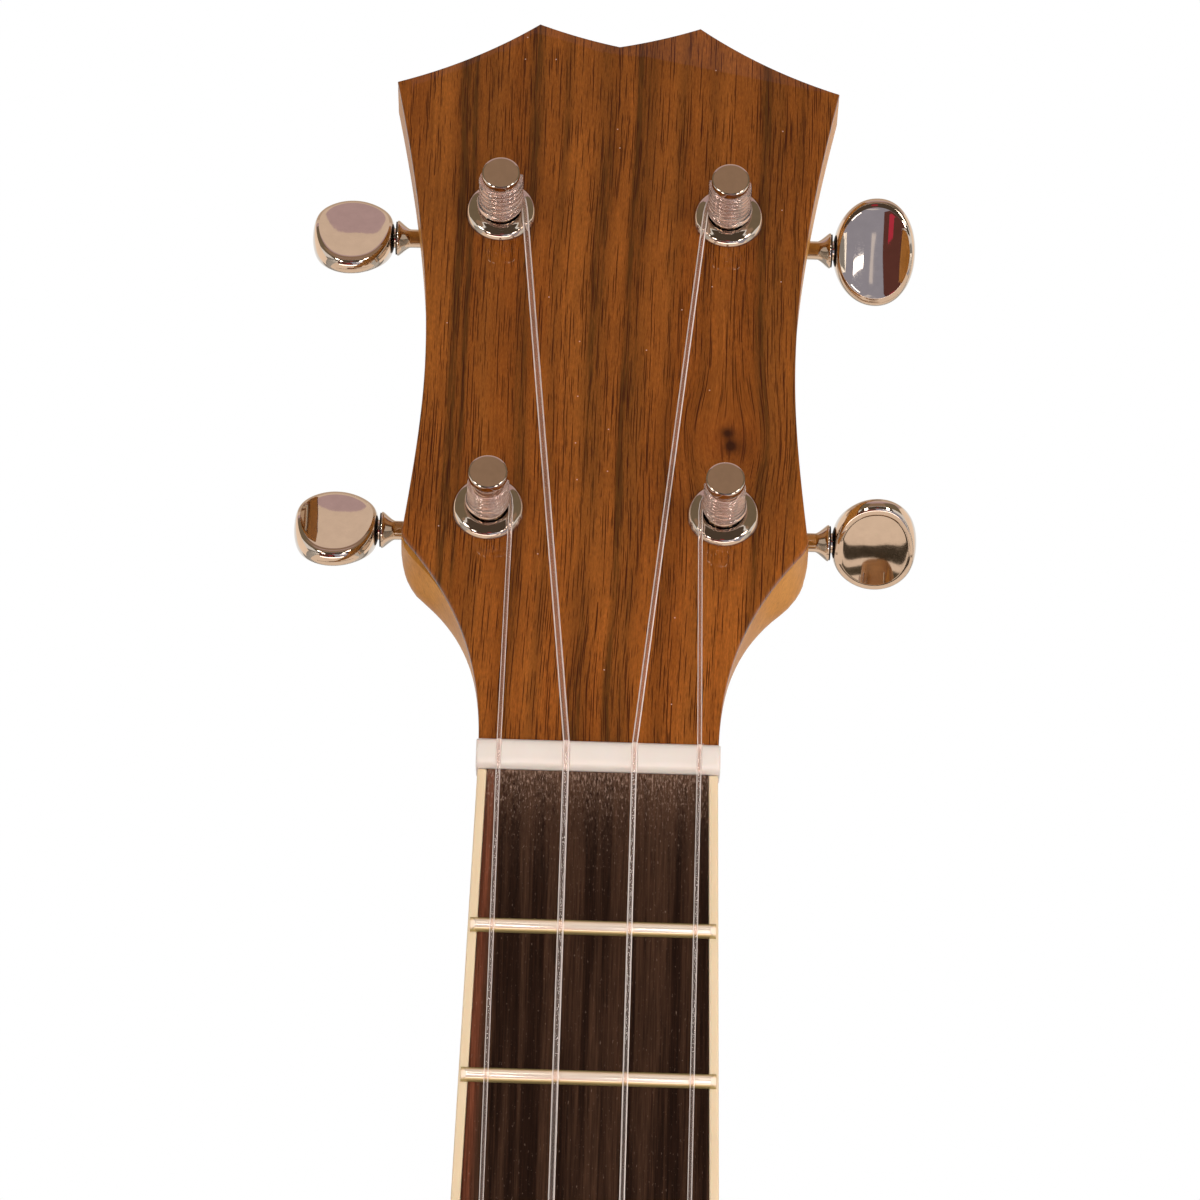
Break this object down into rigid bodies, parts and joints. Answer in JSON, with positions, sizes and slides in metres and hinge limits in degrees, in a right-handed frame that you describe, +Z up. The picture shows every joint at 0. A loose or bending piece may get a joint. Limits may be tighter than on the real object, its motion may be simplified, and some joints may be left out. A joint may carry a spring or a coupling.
{
  "type": "banjo ukulele",
  "caption": "Open-backed banjo ukulele with a tilted walnut-faced headstock, worm-geared tuners, a bound fretboard and a round head stretched by a hoop and hooks.",
  "frame": {"origin": "on the centre line of the neck, where a wall hanger's yoke holds the headstock's shoulders, midway through the headstock's thickness", "axes": "+Z up along the neck towards the headstock's tip, -Y out of the front, +X to the right as seen from the front"},
  "size_m": [0.2182, 0.0672, 0.623],
  "materials": {
    "maple": "gloss lacquer",
    "walnut": "gloss lacquer",
    "rosewood": "oiled",
    "cream_binding": "gloss",
    "white_nut": "satin",
    "nickel_silver": "polished",
    "chrome": "mirror",
    "clear_nylon": "clear",
    "frosted_skin": "frosted"
  },
  "bodies": {
    "instrument": {"neck": "maple", "headstock_veneer": "walnut", "fretboard": "rosewood", "fretboard_binding": "cream_binding", "nut": "white_nut", "fret_01": "nickel_silver", "fret_02": "nickel_silver", "fret_03": "nickel_silver", "fret_04": "nickel_silver", "fret_05": "nickel_silver", "fret_06": "nickel_silver", "fret_07": "nickel_silver", "fret_08": "nickel_silver", "fret_09": "nickel_silver", "fret_10": "nickel_silver", "fret_11": "nickel_silver", "fret_12": "nickel_silver", "fret_13": "nickel_silver", "fret_14": "nickel_silver", "fret_15": "nickel_silver", "fret_16": "nickel_silver", "fret_17": "nickel_silver", "string_1": "clear_nylon", "string_2": "clear_nylon", "string_3": "clear_nylon", "string_4": "clear_nylon", "rim": "maple", "drum_head": "frosted_skin", "tension_hoop": "chrome", "bracket_01": "chrome", "bracket_02": "chrome", "bracket_03": "chrome", "bracket_04": "chrome", "bracket_05": "chrome", "bracket_06": "chrome", "bracket_07": "chrome", "bracket_08": "chrome", "bracket_09": "chrome", "bracket_10": "chrome", "bracket_11": "chrome", "bracket_12": "chrome", "bridge": "maple", "tailpiece": "chrome", "coordinator_rod": "chrome", "tuner_housing_upper_left": "chrome", "tuner_ferrule_upper_left": "chrome", "tuner_housing_upper_right": "chrome", "tuner_ferrule_upper_right": "chrome", "tuner_housing_lower_left": "chrome", "tuner_ferrule_lower_left": "chrome", "tuner_housing_lower_right": "chrome", "tuner_ferrule_lower_right": "chrome"},
    "button_upper_left": {"tuner_button_upper_left": "chrome"},
    "post_upper_left": {"tuner_post_upper_left": "chrome"},
    "button_upper_right": {"tuner_button_upper_right": "chrome"},
    "post_upper_right": {"tuner_post_upper_right": "chrome"},
    "button_lower_left": {"tuner_button_lower_left": "chrome"},
    "post_lower_left": {"tuner_post_lower_left": "chrome"},
    "button_lower_right": {"tuner_button_lower_right": "chrome"},
    "post_lower_right": {"tuner_post_lower_right": "chrome"}
  },
  "joints": [
    {"name": "turn_button_upper_left", "type": "hinge", "parent": "instrument", "child": "button_upper_left", "pos_m": [-0.0181, 0.03133, 0.07517], "axis": [1, 0, 0], "continuous": true},
    {"name": "turn_post_upper_left", "type": "hinge", "parent": "instrument", "child": "post_upper_left", "pos_m": [-0.0181, 0.01408, 0.07389], "axis": [0, -0.969, 0.247], "continuous": true},
    {"name": "turn_button_upper_right", "type": "hinge", "parent": "instrument", "child": "button_upper_right", "pos_m": [0.0181, 0.03133, 0.07517], "axis": [1, 0, 0], "continuous": true},
    {"name": "turn_post_upper_right", "type": "hinge", "parent": "instrument", "child": "post_upper_right", "pos_m": [0.0181, 0.01408, 0.07389], "axis": [0, -0.969, 0.247], "continuous": true},
    {"name": "turn_button_lower_left", "type": "hinge", "parent": "instrument", "child": "button_lower_left", "pos_m": [-0.0181, 0.01767, 0.02158], "axis": [1, 0, 0], "continuous": true},
    {"name": "turn_post_lower_left", "type": "hinge", "parent": "instrument", "child": "post_lower_left", "pos_m": [-0.0181, 0.00042, 0.02031], "axis": [0, -0.969, 0.247], "continuous": true},
    {"name": "turn_button_lower_right", "type": "hinge", "parent": "instrument", "child": "button_lower_right", "pos_m": [0.0181, 0.01767, 0.02158], "axis": [1, 0, 0], "continuous": true},
    {"name": "turn_post_lower_right", "type": "hinge", "parent": "instrument", "child": "post_lower_right", "pos_m": [0.0181, 0.00042, 0.02031], "axis": [0, -0.969, 0.247], "continuous": true}
  ],
  "couplings": [
    {"joint": "turn_post_upper_left", "follows": "turn_button_upper_left", "ratio": -0.071429},
    {"joint": "turn_post_upper_right", "follows": "turn_button_upper_right", "ratio": 0.071429},
    {"joint": "turn_post_lower_left", "follows": "turn_button_lower_left", "ratio": -0.071429},
    {"joint": "turn_post_lower_right", "follows": "turn_button_lower_right", "ratio": 0.071429}
  ]
}
